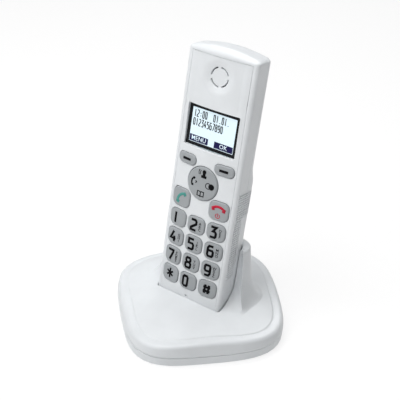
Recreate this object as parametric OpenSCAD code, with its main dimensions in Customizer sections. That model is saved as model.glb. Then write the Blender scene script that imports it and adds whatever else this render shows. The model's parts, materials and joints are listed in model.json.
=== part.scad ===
// Cordless telephone: a handset standing in its charging base.
// Frame: millimetres, +Z up, the front faces -Y, origin under the middle of the base.
// Handset parts are drawn in the handset's own frame (X across, Y up its length from
// the lower end, Z out of the front face, 0 on the crest of the face) and set down by in_handset().

/* [Handset] */
// Length of the handset
hs_len = 174; // [170:1:180]
// Width of the handset
hs_w = 48.8; // [48:0.2:50]
// Thickness of the handset over the batteries
hs_d = 25; // [24.8:0.1:26]
// Thickness of the handset behind the earpiece
hs_d_top = 20.6; // [19:0.2:22]
// Radius of the convex front face across its width
face_r = 119.6; // [110:1:140]
// Wall thickness of the handset shells
hs_wall = 1.6; // [1.4:0.1:1.8]
// Depth at which the front and rear shells meet
part_depth = 13; // [12.8:0.1:13.4]
// Length of the battery door
door_len = 71; // [70:0.5:73]

/* [Keys] */
// Height of the first row of digit keys above the handset's lower end
row_y = 60.5; // [60:0.1:61]
// Distance between digit columns
col_pitch = 14.4; // [14.2:0.1:14.5]
// Distance between digit rows
row_pitch = 13.4; // [13.2:0.1:13.6]
// Width of a digit key
key_w = 12.6; // [12.2:0.1:12.6]
// Height of a digit key
key_h = 11.4; // [11:0.1:11.6]
// How far keys stand proud of the face
key_proud = 0.9; // [0.6:0.1:1.2]
// Travel of a key
key_travel = 0.8; // [0.5:0.1:0.8]
// Radius of the navigation pad
nav_r = 10.87; // [10.6:0.1:10.9]

/* [Display] */
// Width of the display window
win_w = 36.4; // [35:0.2:37]
// Height of the display window
win_h = 26.2; // [25:0.2:27]
// Depth of the display lens below the crest of the face
lens_depth = 2.9; // [2.7:0.1:3]

/* [Base] */
// How far the handset leans back in its seat
recline = 10.75; // [9:0.25:12]
// Height of the split between the base's upper shell and tray
split_z = 7; // [6.8:0.1:7.2]
// Height of the side wall where it is nearest the middle
wall_z = 17.2; // [16.5:0.1:18]
// Height of the deck at the middle of the base
deck_z = 23.4; // [23:0.1:24]
// Height of the collar behind the handset
collar_z = 57; // [52:1:60]
// Wall thickness of the base
base_wall = 2; // [1.8:0.1:2.2]
// Clearance between the handset and its well
well_gap = 0.6; // [0.5:0.1:0.8]

/* [Hidden] */
$fn = 48;

white = [0.90, 0.91, 0.92];
key_grey = [0.64, 0.66, 0.67];
rubber_grey = [0.30, 0.31, 0.32];
board_green = [0.10, 0.36, 0.22];
steel = [0.72, 0.73, 0.75];
gold = [0.83, 0.68, 0.35];
black = [0.06, 0.06, 0.07];

eps = 0.05;
fit = 0.1;              // gap between parts that are clipped or glued together

// Seat of the handset: where its lower end stands in the base
seat_y = -19.3;
seat_z = 13.9;

// Handset outline
hs_b = hs_w / 2;
front_r = 2.5;          // edge between face and side
back_r = 8;             // edge between side and back
foot_r = 8;             // lower rear edge, seen from the side
front_roll = 4.6;       // radius of the edge between face and top
crown_r2 = 180;         // the top falls by x * x / crown_r2 towards its sides
bulge_y = 92;           // where the battery bulge starts to taper
taper_y = 106;          // where the taper ends

// Face plate, let into the front shell
plate_b0 = 21.8;        // half width at the lower end
plate_b1 = 20.9;        // half width at the top
plate_y0 = 4;
plate_y1 = row_y + 107.8;
ledge = 0.85;           // ledge of the front shell below the plate's edge
ledge_t = 1.2;          // its thickness
ledge_low = 7.4;        // depth it reaches down to

// Depths of the parts behind the face
flange_top = 3.7;
flange_t = 0.9;
mat_top = flange_top + flange_t + key_travel + 1.4;
board_top = 7.6;
board_t = 1;
deck_top = 12;          // battery deck of the rear shell
deck_t = 1.2;
door_gap = 0.2;         // seam between the battery door and the rear shell
reach = 30;             // half width of a box that spans the whole handset

// Screw posts of the handset
post_x = 17.5;
post_low = 12;
post_high = 78;
post_r = 2.6;

// Keys
key_r = 3.8;
key_slack = 0.25;
nav_y = row_y + 28.4;
nav_gap_r = nav_r + 1.4;
talk = [14, row_y + 14.4];
talk_size = [13.4, 12.4];
soft = [13.5, row_y + 40.8];
soft_size = [13.4, 6.8];
win_y = row_y + 62.6;
ear_y = row_y + 95.8;
ear_r = 5.87;
ringer_y = 136;
mic_y = 9.4;
pivot_z = -5.3;         // height of the cross pin that the navigation pad rocks on
pivot_r = 0.7;
ear_x = 2.6;            // the pad's ears hold the pin's short arms
saddle_y = 3.8;         // the mat's saddles hold its long arms

// Battery cells
cell_r = 5.2;
cell_len = 44.5;
cell_x = 5.6;
cell_y = 20;
cell_z = -deck_top - 0.2 - cell_r;

// Charge contacts
pin_x = 9;
pin_z = -7.5;
pin_r = 1.25;

// Base plan: a soft polygon, each edge as [direction of its normal, distance from the middle]
base_y = -5.2;
plan_edges = [[-46.4, 51], [226.4, 51], [39, 57.6], [141, 57.6], [90, 94.6]];
plan_power = 3.75;
ring_n = 72;
rim_r = 3;
draft = 1.3;
crown_r = 230;
crown_at = 47;
deck_line = 7;          // distance of the deck line inside the rim
deck_power = 1.6;
foot_h = 0.8;           // height of the tray above the ground
tray_floor = 1.8;
foot_front = [20, -40];
foot_back = [36, 20];
foot_disc = 6;

// Collar: a C-shaped wall round the handset's back, drawn as level sections up to collar_z
collar_foot = 17.5;
collar_n = 13;
collar_top_x = 28.5;
collar_side = 16.9;     // depth of its front edges beside the handset
peg_at = [31, 8];       // pegs of the deck that the collar sits on
peg_r = 1.3;

// Sockets and page key in the rear wall
sock_x = 11.5;
sock_w = 12.4;
sock_z = 2.7;
sock_h = 7;
sock_y = 39;
sock_len = 14;
page_w = 6.6;
page_z = 4.2;
page_h = 3.8;
page_end = 63.3;        // how far back the page key reaches

function arc(cx, cy, r, a0, a1, n = 6) =
    [for (i = [0:n]) let (a = a0 + (a1 - a0) * i / n) [cx + r * cos(a), cy + r * sin(a)]];
function mirrored(pts) = concat(pts, [for (i = [len(pts) - 1:-1:0]) [-pts[i][0], pts[i][1]]]);
function face_z(x, o = 0) = sqrt(pow(face_r - o, 2) - x * x) - face_r;

// Handset form, o is how far it is shrunk all round
function section(o) = let (b = hs_b - o, r = front_r - o / 2, x1 = b - r, q = max(back_r - o, 1))
    mirrored(concat(
        [for (i = [0:8]) let (x = x1 * i / 8) [x, face_z(x, o)]],
        arc(x1, face_z(x1, o) - r, r, 75, 0, 4),
        arc(b - q, -hs_d + o + q, q, 0, -90, 7)));
function side_profile(o) = let (q = foot_r - o / 2) concat(
    arc(o + 1.5, 1.5 - o, 1.5, 180, 270, 1),
    [[o, -4], [o, -hs_d + o + q]],
    arc(o + q, -hs_d + o + q, q, 180, 270, 6),
    [[bulge_y, -hs_d + o], [bulge_y + 7, -hs_d + o + 1.8], [taper_y, -hs_d + o + 3],
     [hs_len - 12, -hs_d_top + o - 0.2]],
    arc(hs_len - o - 5, -hs_d_top + o + 5, 5, 270, 360, 4),
    arc(hs_len - front_roll, -front_roll, front_roll - o, 0, 80, 4),
    [[hs_len - front_roll, 3]]);
function crown(x, o) = hs_len - o - x * x / crown_r2;
function front_outline(o) = let (b = hs_b - o, s = 4) mirrored(concat(
    [[0, o]],
    arc(b - 5, o + 5, 5, 270, 360, 4),
    [[b, crown(b, o) - 2.4], [b - 0.75, crown(b, o) - 0.9]],
    [for (i = [s:-1:0]) let (x = (b - 2.6) * i / s) [x, crown(x, o)]]));

module along_handset(pts, y0, y1)
    translate([0, y1, 0]) rotate([90, 0, 0]) linear_extrude(y1 - y0) polygon(pts);

module body_form(o = 0)
    intersection() {
        along_handset(section(o), -20, hs_len + 20);
        rotate([90, 0, 90]) linear_extrude(hs_w + 20, center = true) polygon(side_profile(o));
        translate([0, 0, -60]) linear_extrude(80) polygon(front_outline(o));
    }

module in_handset() translate([0, seat_y, seat_z]) rotate([90 - recline, 0, 0]) children();

// A box given by its lowest and highest corners
module span(lo, hi) translate(lo) cube(hi - lo);

module shell_of(o0, o1) difference() { body_form(o0); body_form(o1); }

module round_rect(w, h, r) {
    square([w - 2 * r, h], center = true);
    square([w, h - 2 * r], center = true);
    for (x = [-1, 1], y = [-1, 1]) translate([x * (w / 2 - r), y * (h / 2 - r)]) circle(r);
}

function plate_half(o) = [[0, plate_y0 + o], [plate_b0 - o, plate_y0 + o], [plate_b0 - o, row_y + 10],
    [plate_b1 - o, plate_y1 - o], [0, plate_y1 - o]];
module plate_area(o) translate([0, 0, -30]) linear_extrude(40) polygon(mirrored(plate_half(o)));

// ---------------------------------------------------------------- handset shells
module handset_front_shell() color(white) in_handset() difference() {
    union() {
        difference() {
            intersection() {
                body_form(0);
                span([-reach, -5, -part_depth], [reach, hs_len + 5, 5]);
            }
            body_form(hs_wall + ledge_t);
            intersection() {
                body_form(hs_wall);
                span([-reach, -5, -part_depth - 1], [reach, hs_len + 5, -ledge_low]);
            }
            // seat of the face plate on its ledge
            plate_area(ledge);
            difference() {
                plate_area(0);
                body_form(hs_wall + fit);
            }
        }
        for (x = [-1, 1]) {
            grip_strip(x);
            shell_post(x * post_x, post_low, 6);
            shell_post(x * post_x, post_high, 3);
        }
    }
    for (x = [-1, 1]) {
        translate([x * post_x, post_low, -deck_top]) cylinder(h = 5, r = 0.9);
        translate([x * post_x, post_high, -deck_top]) cylinder(h = 2.6, r = 0.9);
        translate([x * pin_x, 0, pin_z]) cube([8.2, 8, 4.8], center = true);
    }
    translate([0, mic_y - 3.6, 0]) cube([2.6, 1, 3], center = true);
}
module grip_strip(side)
    translate([side * (hs_b + 0.1), row_y + 1.6, -8.2]) cube([0.5, 66, 8.6], center = true);

// A screw post with a web to the side wall, standing on the battery deck
module shell_post(x, y, h) {
    web = hs_b - hs_wall / 2 - post_x;
    translate([x, y, -deck_top + fit]) cylinder(h = h, r = post_r);
    translate([x + sign(x) * web / 2, y, -deck_top + fit + 1.5]) cube([web, 1.2, 3], center = true);
}

module face_plate() color(white) in_handset() difference() {
    intersection() {
        shell_of(0, hs_wall);
        plate_area(fit);
        span([-reach, 0, -6], [reach, hs_len, 5]);
    }
    translate([0, 0, -10]) linear_extrude(14) {
        for (c = [-1:1], r = [0:3]) translate([c * col_pitch, row_y - r * row_pitch])
            round_rect(key_w + 2 * key_slack, key_h + 2 * key_slack, key_r + key_slack);
        for (x = [-1, 1]) {
            translate([x * talk[0], talk[1]]) mirror([x < 0 ? 1 : 0, 0]) talk_outline(key_slack);
            translate([x * soft[0], soft[1]]) mirror([x < 0 ? 1 : 0, 0]) soft_outline(key_slack);
        }
        translate([0, nav_y]) circle(nav_r + 0.4);
        translate([0, win_y]) square([win_w, win_h], center = true);
        translate([0, mic_y]) square([2.4, 0.9], center = true);
        for (k = [0:3]) translate([0, ear_y]) rotate(k * 90 + 20) earpiece_slot();
    }
}

// A quarter of the earpiece's ring of slots
module earpiece_slot() intersection() {
    difference() { circle(ear_r + 0.4); circle(ear_r - 0.4); }
    polygon([[0, 0], [20, 0], [20, 20], [8, 20]]);
}

module handset_rear_shell() color(white) in_handset() difference() {
    union() {
        intersection() {
            shell_of(0, hs_wall);
            span([-reach, door_len + door_gap, -40], [reach, hs_len + 5, -part_depth]);
        }
        // bulkhead between the battery bay and the upper half
        intersection() {
            body_form(hs_wall / 2);
            span([-reach, door_len + door_gap, -40], [reach, door_len + 1.6, -part_depth]);
        }
        // battery deck with its ribs
        intersection() {
            body_form(hs_wall + fit);
            union() {
                span([-reach, 2.2, -deck_top - deck_t], [reach, door_len + 8, -deck_top]);
                for (x = [-12.4, 11.4])
                    span([x, 16, -22], [x + 1, door_len + 1, -deck_top]);
                for (y = [16, 68]) span([-12, y, -22], [12, y + 1, -deck_top]);
            }
        }
        for (x = [-1, 1]) translate([x * post_x, post_high, -deck_top - 4]) cylinder(h = 4, r = post_r);
    }
    for (x = [-cell_x, cell_x]) translate([x, cell_y - 1, cell_z + 0.6])
        rotate([-90, 0, 0]) cylinder(h = cell_len + 3, r = cell_r + 0.2);
    for (x = [-1, 1], y = [post_low, post_high])
        translate([x * post_x, y, -20]) cylinder(h = 20, r = 1.2);
    for (k = [-2:2]) translate([k * 3, ringer_y, -hs_d_top]) cube([1.2, 9, 8], center = true);
}

module battery_door() color(white) in_handset() intersection() {
    shell_of(0, hs_wall);
    span([-reach, -5, -40], [reach, door_len, -part_depth - fit]);
}

// ---------------------------------------------------------------- display
module display_lens() color(black) in_handset()
    translate([0, win_y, -lens_depth - 1])
        linear_extrude(1) square([win_w - 0.3, win_h - 0.3], center = true);

module lcd_module() color([0.80, 0.88, 0.92]) in_handset()
    span([-19.8, win_y - 15, -board_top], [19.8, win_y + 15, -lens_depth - 1 - eps]);

// ---------------------------------------------------------------- keys
module talk_outline(o = 0) difference() {
    round_rect(talk_size[0] + 2 * o, talk_size[1] + 2 * o, key_r + o);
    translate([-talk[0], nav_y - talk[1]]) circle(nav_gap_r - o);
}
module soft_outline(o = 0) difference() {
    round_rect(soft_size[0] + 2 * o, soft_size[1] + 2 * o, 3.2 + o);
    translate([-soft[0], nav_y - soft[1]]) circle(nav_gap_r - o);
}

// A key cap whose top follows the curve of the face, on a flange that the plate holds in
module key_cap(pos, flange) {
    intersection() {
        translate([pos[0], pos[1], -flange_top - eps]) linear_extrude(12) children();
        translate([0, hs_len, -face_r]) rotate([90, 0, 0])
            cylinder(h = hs_len, r = face_r + key_proud, $fn = 240);
    }
    translate([pos[0], pos[1], -flange_top - flange_t]) linear_extrude(flange_t)
        difference() {
            square(flange, center = true);
            translate([-pos[0], nav_y - pos[1]]) circle(nav_gap_r + 0.7);
        }
}
module digit_key(c, r) color(key_grey) in_handset()
    key_cap([c * col_pitch, row_y - r * row_pitch], [key_w, key_h + 1.6])
        round_rect(key_w, key_h, key_r);
module talk_side(s) color(key_grey) in_handset()
    key_cap([s * talk[0], talk[1]], [talk_size[0] - 0.6, talk_size[1] + 1.6])
        mirror([s < 0 ? 1 : 0, 0]) talk_outline();
module soft_side(s) color(key_grey) in_handset()
    key_cap([s * soft[0], soft[1]], [soft_size[0] - 0.6, soft_size[1] + 1.6])
        mirror([s < 0 ? 1 : 0, 0]) soft_outline();

module key_1() digit_key(-1, 0);
module key_2() digit_key(0, 0);
module key_3() digit_key(1, 0);
module key_4() digit_key(-1, 1);
module key_5() digit_key(0, 1);
module key_6() digit_key(1, 1);
module key_7() digit_key(-1, 2);
module key_8() digit_key(0, 2);
module key_9() digit_key(1, 2);
module key_star() digit_key(-1, 3);
module key_0() digit_key(0, 3);
module key_hash() digit_key(1, 3);
module talk_key() talk_side(-1);
module end_key() talk_side(1);
module soft_key_left() soft_side(-1);
module soft_key_right() soft_side(1);

module nav_pad() color(key_grey) in_handset() translate([0, nav_y, 0]) {
    translate([0, 0, -4]) cylinder(h = 4 + key_proud, r = nav_r);
    translate([0, 0, -4]) cylinder(h = 0.8, r = nav_r + 1.1);
    for (x = [-1, 1]) difference() {
        translate([x * ear_x, 0, -5.1]) cube([1.2, 3, 2.8], center = true);
        pivot_arm([0, 90, 0], 10, fit);
    }
}
// A cross pin: the pad rocks on its short arms, and the pin turns on its long arms in the mat
module nav_pivot() color(steel) in_handset() translate([0, nav_y, 0]) {
    pivot_arm([0, 90, 0], 2 * ear_x + 1.4);
    pivot_arm([90, 0, 0], 2 * saddle_y + 1.4);
}
module pivot_arm(turn, length, gap = 0)
    translate([0, 0, pivot_z]) rotate(turn) cylinder(h = length, r = pivot_r + gap, center = true);

module keypad_mat() color(rubber_grey) in_handset() {
    span([-21, 15, -board_top + eps], [21, row_y + 46, -mat_top]);
    translate([0, nav_y, 0]) for (y = [-1, 1]) difference() {
        translate([0, y * saddle_y, -mat_top + 0.9]) cube([3, 1.2, 2], center = true);
        pivot_arm([90, 0, 0], 12, fit);
    }
    for (c = [-1:1], r = [0:3]) mat_dome([c * col_pitch, row_y - r * row_pitch]);
    for (x = [-1, 1]) {
        mat_dome([x * talk[0], talk[1]]);
        mat_dome([x * soft[0], soft[1]]);
    }
}
module mat_dome(p) translate([p[0], p[1], -mat_top - eps]) cylinder(h = 1.2, r1 = 3, r2 = 2.2);

// ---------------------------------------------------------------- inside the handset
module handset_board() color(board_green) in_handset() difference() {
    span([-21.5, 6, -board_top - board_t], [21.5, 164, -board_top]);
    for (x = [-1, 1]) translate([x * post_x, post_low, -20]) cylinder(h = 20, r = post_r + 0.4);
}
module rf_shield() color(steel) in_handset()
    span([-13, 104, -board_top - board_t - 2.4], [13, 124, -board_top - board_t]);
module earpiece_speaker() color(black) in_handset() translate([0, ear_y, -board_top]) {
    cylinder(h = 3.8, r = 8.5);
    cylinder(h = 1.2, r = 10);
}
module ringer_speaker() color(black) in_handset() translate([0, ringer_y, -17]) {
    cylinder(h = 17 - board_top - board_t, r = 6.5);
    cylinder(h = 3, r = 9);
}
module microphone() color(black) in_handset() translate([0, mic_y + 1.5, -board_top])
    cylinder(h = 3, r = 2.6);
module battery_cells() color([0.16, 0.38, 0.30]) in_handset()
    for (x = [-cell_x, cell_x]) translate([x, cell_y, cell_z]) rotate([-90, 0, 0]) {
        cylinder(h = cell_len - 1, r = cell_r);
        cylinder(h = cell_len, r = 1.9);
    }
module battery_contacts() color(steel) in_handset() {
    for (x = [-cell_x, cell_x]) {
        translate([x, 67.7, cell_z]) cube([8, 0.4, 7], center = true);
        translate([x, 17.3, cell_z]) cube([8, 0.4, 7], center = true);
        translate([x, 17.5, cell_z]) rotate([-90, 0, 0]) cylinder(h = 2.4, r1 = 3.6, r2 = 2);
    }
}
module charge_strips() color(gold) in_handset() for (x = [-1, 1]) {
    translate([x * pin_x, 0.4, pin_z]) cube([8, 0.8, 4.6], center = true);
    translate([x * pin_x, 3.9, pin_z - 1.5]) cube([3, 6.4, 0.5], center = true);
}
module handset_screws() color(steel) in_handset() for (x = [-1, 1]) {
    translate([x * post_x, post_low, -deck_top - deck_t]) screw(5.6, 2);
    translate([x * post_x, post_high, -deck_top - 4]) screw(5.6, 2);
}
// A self-tapping screw, its head below z 0 and its shank above
module screw(l, head) {
    translate([0, 0, -1.3]) difference() {
        cylinder(h = 1.3, r = head);
        for (a = [0, 90]) rotate(a) translate([0, 0, 0.2]) cube([2.4, 0.6, 1], center = true);
    }
    translate([0, 0, -eps]) cylinder(h = l, r = 0.85);
}

// ---------------------------------------------------------------- base
function plan_radius(a) = pow(plan_sum(a), -1 / plan_power);
function plan_sum(a, i = 0) = i == len(plan_edges) ? 0
    : pow(max(0, cos(a - plan_edges[i][0])) / plan_edges[i][1], plan_power) + plan_sum(a, i + 1);
function rim_z(a) = wall_z + (pow(crown_at, 2) - pow(plan_radius(a), 2)) / (2 * crown_r);
function on_plan(a, inset, z) = let (r = plan_radius(a) - inset)
    [r * cos(a), base_y + r * sin(a), z];

// Rings of the plinth from its lower edge to the deck, o is how far they are shrunk inward
function plinth_ring(k, z0, o) = [for (i = [0:ring_n - 1]) let (a = 360 * i / ring_n, h = rim_z(a) - o)
    k == 0 ? on_plan(a, o + draft * (z0 / wall_z), z0)
    : k <= 4 ? let (t = (k - 1) * 30) on_plan(a, o + draft + rim_r * (1 - cos(t)), h - rim_r * (1 - sin(t)))
    : k == 5 ? on_plan(a, o + draft + deck_line, h + 0.3)
    : let (r0 = plan_radius(a) - draft - deck_line - o, s = 1 - (k - 5) / 5)
      [r0 * s * cos(a), base_y + r0 * s * sin(a),
       deck_z - o - (deck_z - o - h - 0.3) * pow(s, deck_power)]];
// A closed solid through a list of rings, capped flat below and by a point or flat on top
module loft(rings) {
    n = len(rings[0]);
    m = len(rings);
    pts = [for (r = rings) for (p = r) p];
    sides = [for (k = [0:m - 2], i = [0:n - 1]) let (j = (i + 1) % n)
        [k * n + i, (k + 1) * n + i, (k + 1) * n + j, k * n + j]];
    ends = [[for (i = [0:n - 1]) i], [for (i = [n - 1:-1:0]) (m - 1) * n + i]];
    tris = [for (q = sides) for (t = [[q[0], q[1], q[2]], [q[0], q[2], q[3]]]) t];
    polyhedron(points = pts, faces = concat(tris, ends));
}
module plinth(z0, o) loft(concat([for (k = [0:9]) plinth_ring(k, z0, o)],
    [[for (p = plinth_ring(9, z0, o)) [p[0] * 0.05, base_y + (p[1] - base_y) * 0.05, deck_z - o]]]));

// Collar outlines by height z: side, front crease, back, and the depth of the edge beside the handset
function collar_t(z) = (collar_z - z) / (collar_z - 18);
function collar_x(z) = collar_top_x + 0.11 * (collar_z - z) + 8.5 * exp(min(0, 20 - z) / 5);
function collar_front(t) = 3.8 - 6 * t - 6.8 * pow(t, 3);
function collar_back(t) = 19.5 + 3 * t + 10 * pow(t, 4);
function collar_edge(z) = collar_side - 8.5 * exp((21 - max(z, 19.5)) / 2.8);
function well_y(z, depth) = seat_y + (z - seat_z) * tan(recline) + depth / cos(recline);
function collar_section(z, o) = let (
    t = collar_t(z),
    x = collar_x(z) - o,
    y0 = collar_front(t) + o,
    y1 = collar_back(t) - o,
    q = back_r + well_gap,
    b = hs_b + well_gap + o,
    d = hs_d + well_gap + o - q,
    right = concat(
        [for (a = [90:-15:0]) [b - q + q * cos(a), well_y(z, d + q * sin(a)), z]],
        [[b, well_y(z, collar_edge(z)) + o, z], [x, y0, z]],
        [for (a = [0:7.5:90])
            [(x + 0.4) * pow(cos(a), 0.6), y0 + 4 + (y1 - y0 - 4) * pow(sin(a), 0.6), z]]))
    concat(right, [for (i = [len(right) - 2:-1:0]) [-right[i][0], right[i][1], right[i][2]]]);

// Room for the handset and for the battery door's travel
module well(o) in_handset() {
    body_form(-o);
    intersection() {
        translate([0, -3.2, 0]) body_form(-o);
        span([-40, -20, -60], [40, 100, -part_depth + 0.4 + o - well_gap]);
    }
}

module base_top_shell() color(white) difference() {
    union() {
        difference() {
            plinth(split_z, 0);
            difference() {
                plinth(split_z - 4, base_wall);
                well(well_gap + hs_wall);
            }
        }
        for (p = screw_posts()) translate([p[0], p[1], split_z - 1.4])
            cylinder(h = p[2] - split_z + 1.4, r = 3.2);
        for (x = [-1, 1])
            translate([x * peg_at[0], peg_at[1], collar_foot]) cylinder(h = 5.5, r = peg_r);
    }
    well(well_gap);
    for (p = screw_posts()) translate([p[0], p[1], split_z - 2]) cylinder(h = 8, r = 0.95);
    in_handset() for (x = [-1, 1]) translate([x * pin_x, 1, pin_z]) rotate([90, 0, 0])
        cylinder(h = 6, r = pin_r + 0.1);
    rear_openings();
}
module base_collar() color(white) difference() {
    loft(concat(
        [for (i = [0:collar_n])
            collar_section(collar_foot + (collar_z - 0.9 - collar_foot) * i / collar_n, 0)],
        [collar_section(collar_z - 0.3, 0.3), collar_section(collar_z, 0.9)]));
    for (x = [-1, 1])
        translate([x * peg_at[0], peg_at[1], collar_foot - 1]) cylinder(h = 7, r = peg_r + fit);
}
// The holes of the rear wall, shared by the shell and the tray
module rear_openings() {
    for (x = [-1, 1]) translate([x * sock_x, sock_y + sock_len, sock_z + sock_h / 2])
        cube([sock_w + 0.4, 26, sock_h + 0.2], center = true);
    translate([0, page_end - 1, page_z + page_h / 2]) cube([page_w + 0.5, 12, page_h + 0.5], center = true);
}
// Screw posts of the base: place, and height of the post's upper end
function screw_posts() = [for (x = [-1, 1], p = [[foot_front + [12, 6], 15.5], [foot_back + [3, 8], 13]])
    [x * p[0][0], p[0][1], p[1]]];

module base_tray() color(white) difference() {
    union() {
        difference() {
            plinth_slab(foot_h, split_z - 0.3, 0);
            plinth_slab(foot_h + tray_floor, split_z + 4, base_wall);
        }
        for (p = screw_posts())
            translate([p[0], p[1], foot_h + 1]) cylinder(h = split_z - 2.5 - foot_h, r = 3.6);
    }
    for (p = screw_posts()) {
        translate([p[0], p[1], -1]) cylinder(h = 20, r = 1.3);
        translate([p[0], p[1], -1]) cylinder(h = 3.4 + 1, r = 2.6);
    }
    for (f = feet_at()) translate([f[0], f[1], -1]) cylinder(h = foot_h + 1.7, r = foot_disc + 0.2);
    rear_openings();
}
module plinth_slab(z0, z1, o) loft([for (z = [z0, z1]) [for (i = [0:ring_n - 1])
    on_plan(360 * i / ring_n, o + draft * (z / wall_z) + (z == foot_h ? 0.8 : 0), z)]]);
function feet_at() = [for (f = [foot_front, foot_back], x = [-1, 1]) [x * f[0], f[1]]];

module base_feet() color(rubber_grey) for (f = feet_at()) translate([f[0], f[1], 0])
    cylinder(h = foot_h + 0.7, r = foot_disc);
module base_screws() color(steel) for (p = screw_posts()) translate([p[0], p[1], 3.4]) screw(8, 2.4);

module base_board() color(board_green) {
    span([-20, -46, 4.4], [20, -20, 5.6]);
    span([-12, -46, 5.6], [6, -30, 8]);
    span([-20, 26, 2.7], [20, 38.8, 4.3]);
    span([-3, 38, 2.7], [3, 48.6, 8]);
}
module socket(x) difference() {
    span([x - sock_w / 2, sock_y, sock_z], [x + sock_w / 2, sock_y + sock_len, sock_z + sock_h]);
    span([x - 4.9, sock_y + 3, sock_z + 0.8], [x + 4.9, sock_y + sock_len + 1, sock_z + 6]);
}
module line_socket() color(black) socket(-sock_x);
module power_socket() color(black) socket(sock_x);

// ---------------------------------------------------------------- charge pins
module pin_carrier() color([0.85, 0.86, 0.87]) in_handset() difference() {
    span([-14, -6.5, -10.5], [14, -2.3, -4.5]);
    for (x = [-1, 1]) translate([x * pin_x, 0, pin_z]) rotate([90, 0, 0]) {
        translate([0, 0, 2]) cylinder(h = 3.2, r = 2.2);
        cylinder(h = 10, r = 0.8);
    }
}
module charge_pin(x) color(gold) in_handset() translate([x, -0.1, pin_z]) rotate([90, 0, 0]) {
    cylinder(h = 3, r = pin_r);
    translate([0, 0, 2.3]) cylinder(h = 0.7, r = 2);
    translate([0, 0, 2.9]) cylinder(h = 3.4, r = 0.7);
}
module charge_pin_left() charge_pin(-pin_x);
module charge_pin_right() charge_pin(pin_x);
module pin_springs() color(steel) in_handset() for (x = [-1, 1])
    translate([x * pin_x, -5.15, pin_z]) rotate([-90, 0, 0]) difference() {
        cylinder(h = 1.1, r = 1.9);
        translate([0, 0, -1]) cylinder(h = 4, r = 1);
    }
module page_key() color(key_grey) {
    span([-page_w / 2, 50, page_z], [page_w / 2, page_end, page_z + page_h]);
    translate([0, page_end - 5.2, page_z + page_h / 2]) cube([page_w + 1.6, 1, page_h + 1.4], center = true);
}

handset_front_shell();
face_plate();
handset_rear_shell();
battery_door();
display_lens();
lcd_module();
keypad_mat();
key_1();
key_2();
key_3();
key_4();
key_5();
key_6();
key_7();
key_8();
key_9();
key_star();
key_0();
key_hash();
talk_key();
end_key();
soft_key_left();
soft_key_right();
nav_pad();
nav_pivot();
handset_board();
rf_shield();
earpiece_speaker();
ringer_speaker();
microphone();
battery_cells();
battery_contacts();
charge_strips();
handset_screws();
base_top_shell();
base_collar();
base_tray();
base_board();
line_socket();
power_socket();
pin_carrier();
charge_pin_left();
charge_pin_right();
pin_springs();
page_key();
base_feet();
base_screws();
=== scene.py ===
import json
import math

import bmesh
import bpy
import numpy as np
from mathutils import Matrix, Vector
from mathutils.geometry import delaunay_2d_cdt


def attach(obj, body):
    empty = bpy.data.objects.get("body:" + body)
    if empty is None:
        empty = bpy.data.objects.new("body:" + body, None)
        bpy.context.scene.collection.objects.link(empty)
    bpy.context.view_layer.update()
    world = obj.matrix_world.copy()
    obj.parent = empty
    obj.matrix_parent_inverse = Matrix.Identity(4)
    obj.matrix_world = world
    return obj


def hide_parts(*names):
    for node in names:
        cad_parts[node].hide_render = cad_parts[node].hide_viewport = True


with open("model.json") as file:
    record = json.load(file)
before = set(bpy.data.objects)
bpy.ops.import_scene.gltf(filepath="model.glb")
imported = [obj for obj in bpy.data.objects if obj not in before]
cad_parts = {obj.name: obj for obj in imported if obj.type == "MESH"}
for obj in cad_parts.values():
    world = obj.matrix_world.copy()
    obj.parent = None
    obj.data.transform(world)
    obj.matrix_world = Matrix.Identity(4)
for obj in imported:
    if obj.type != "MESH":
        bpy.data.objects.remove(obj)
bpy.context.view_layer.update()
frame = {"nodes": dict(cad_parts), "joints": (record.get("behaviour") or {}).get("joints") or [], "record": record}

# ---------------------------------------------------------------- sizes, in millimetres
MM = 0.001
LIFT = Vector(next(j["axis"] for j in frame["joints"] if j["name"] == "handset_lift"))
TILT = math.atan2(LIFT.y, LIFT.z)      # how far the handset leans back
SEAT = Vector((0, -19.3, 13.9))        # lower end of the handset, on the crest of its face
SEATED = Matrix.Translation(SEAT) @ Matrix.Rotation(math.pi / 2 - TILT, 4, "X")
BASE = Matrix.Scale(MM, 4)             # places points of the shared frame
HANDSET = BASE @ SEATED                # places points of the handset: across, up along, and out of its face

LENGTH = 174.0
HALF = 24.4                            # half the handset's width
DEPTH = 25.0                           # its depth over the battery cover
STEP, STEP_Y, STEP_H = 3.2, 92, 12     # how far the back steps in, from which height, and over how much
TAPER, TAPER_Y, TAPER_H = 1.2, 100, 70     # and the same for the slope above
FACE_R = 119.6                         # radius of the crowned face
FRONT_R = 2.5                          # rounding of the long front edges
BACK_R = 8.0                           # rounding of the long rear edges
LOW_R = 5.0                            # rounding of the lower corners, seen from the front
LOW_EDGE_R = 1.2                       # rounding of the lower end's front and rear edges
TOP_R = (2.6, 4.6, 5.0)                # rounding of the top's side, front and rear edges
PART = 13.0                            # depth at which front and rear shell meet
DOOR = 71.0                            # height of the battery cover's upper edge
GAP = 0.11                             # half the width of a seam
GRIP = (29.0, 88.5)                    # lower and upper end of the ribs on the sides
GRIP_FRONT = -2.9                      # where they begin behind the face
GRIP_REAR, GRIP_REAR_LOW = -22.5, -12.4    # where they end, above the battery cover and beside it
RIB, GROOVE, RIB_PITCH = 0.25, 0.6, 1.6    # how far ribs stand out, how deep grooves go in, and their pitch
VENTS = (132.1, 140.1)                 # lower and upper end of the ringer's slots
VENT_U = (0, 3, 6)                     # how far the slots lie from the middle

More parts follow.
